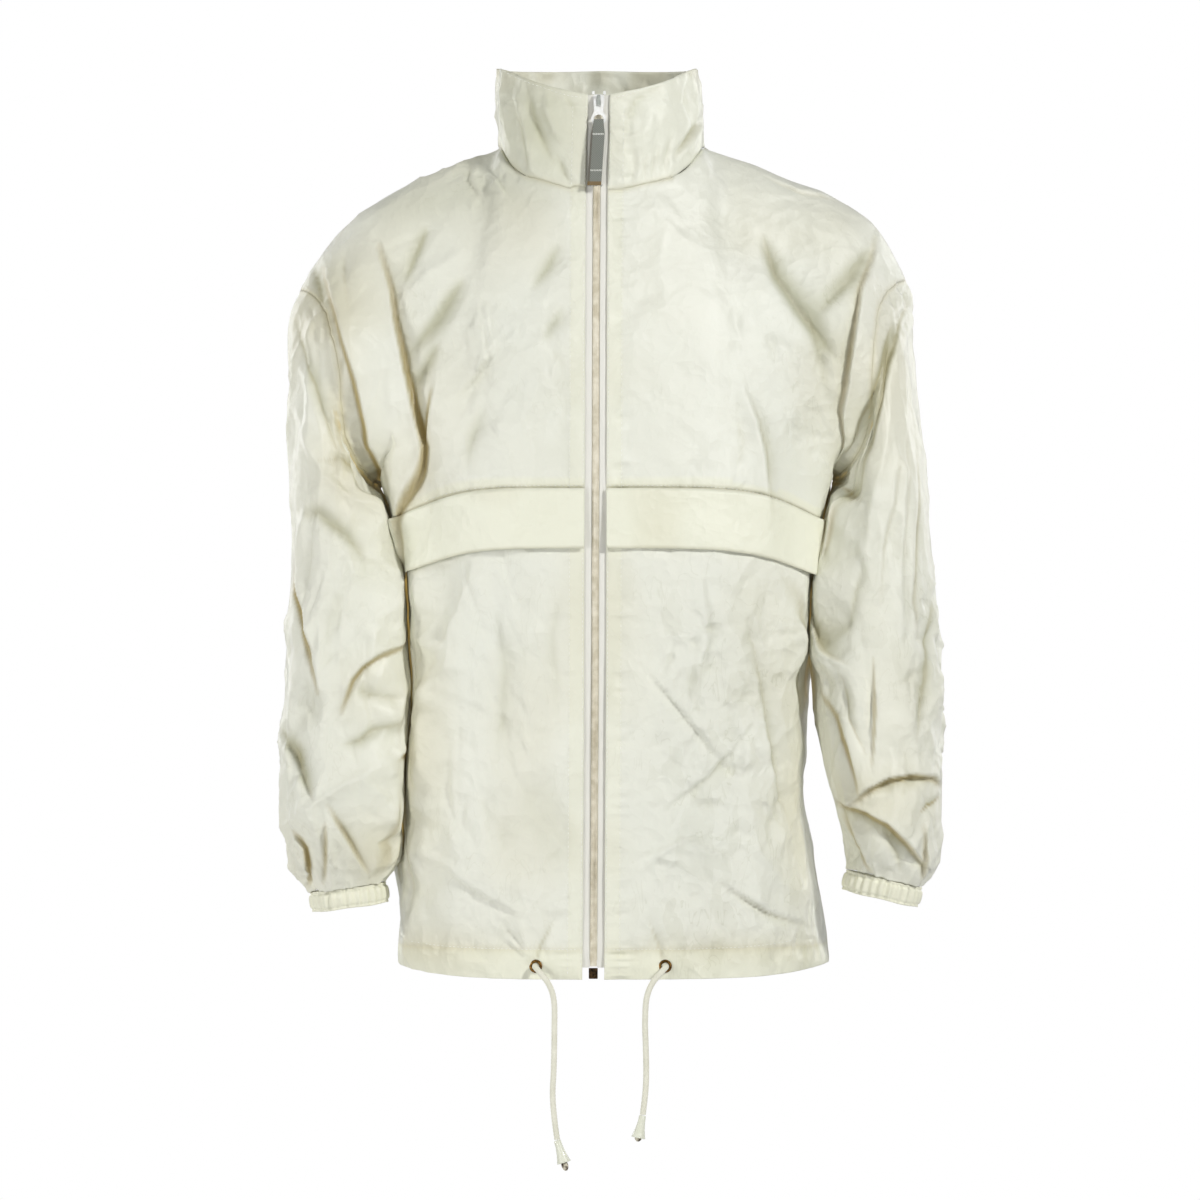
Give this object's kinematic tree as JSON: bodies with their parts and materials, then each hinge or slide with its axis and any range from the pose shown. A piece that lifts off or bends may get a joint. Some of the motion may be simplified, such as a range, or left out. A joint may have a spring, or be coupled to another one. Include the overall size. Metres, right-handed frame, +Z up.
{
  "type": "windbreaker jacket",
  "caption": "Light nylon windbreaker in its hollow worn form: stand collar, full front zip, chest flaps, gathered cuffs and a drawcord hem.",
  "frame": {"origin": "midway between the tops of the wearer's shoulders, at the height of the neck sides, where the jacket is held up", "axes": "+Z up, the front faces -Y, the wearer's left is +X"},
  "size_m": [0.6012, 0.2933, 0.9938],
  "materials": {
    "taffeta": "semi-gloss nylon taffeta, cream",
    "double_taffeta": "two layers of the taffeta, warmer",
    "zip_tape": "woven white tape",
    "coil": "beige nylon coil",
    "enamel": "glossy white enamel",
    "webbing": "grey webbing",
    "brass": "antique brass",
    "box_metal": "dark bronze",
    "cord": "braided off-white cord",
    "cord_end": "moulded cream plastic",
    "burnt_tip": "melted cord end"
  },
  "bodies": {
    "jacket": {"back": "taffeta", "chest_flap_left": "double_taffeta", "chest_flap_right": "double_taffeta", "collar": "taffeta", "cord_end_left": "cord_end", "cord_end_right": "cord_end", "cord_tip_left": "burnt_tip", "cord_tip_right": "burnt_tip", "cuff_left": "double_taffeta", "cuff_right": "double_taffeta", "drawcord_left": "cord", "drawcord_right": "cord", "eyelet_left": "brass", "eyelet_right": "brass", "front_lower_left": "taffeta", "front_lower_right": "taffeta", "front_upper_left": "taffeta", "front_upper_right": "taffeta", "sleeve_left": "taffeta", "sleeve_right": "taffeta", "zip_box": "box_metal", "zip_coil": "coil", "zip_slider": "enamel", "zip_tape_left": "zip_tape", "zip_tape_right": "zip_tape", "zip_top_stop_left": "enamel", "zip_top_stop_right": "enamel"},
    "zip_pull": {"pull_tab": "enamel", "pull_strap": "webbing"}
  },
  "joints": [
    {"name": "pull_swing", "type": "hinge", "parent": "jacket", "child": "zip_pull", "pos_m": [-0.0012, -0.1022, 0.0375], "axis": [-1, 0, 0], "range_deg": [0, 150]}
  ]
}
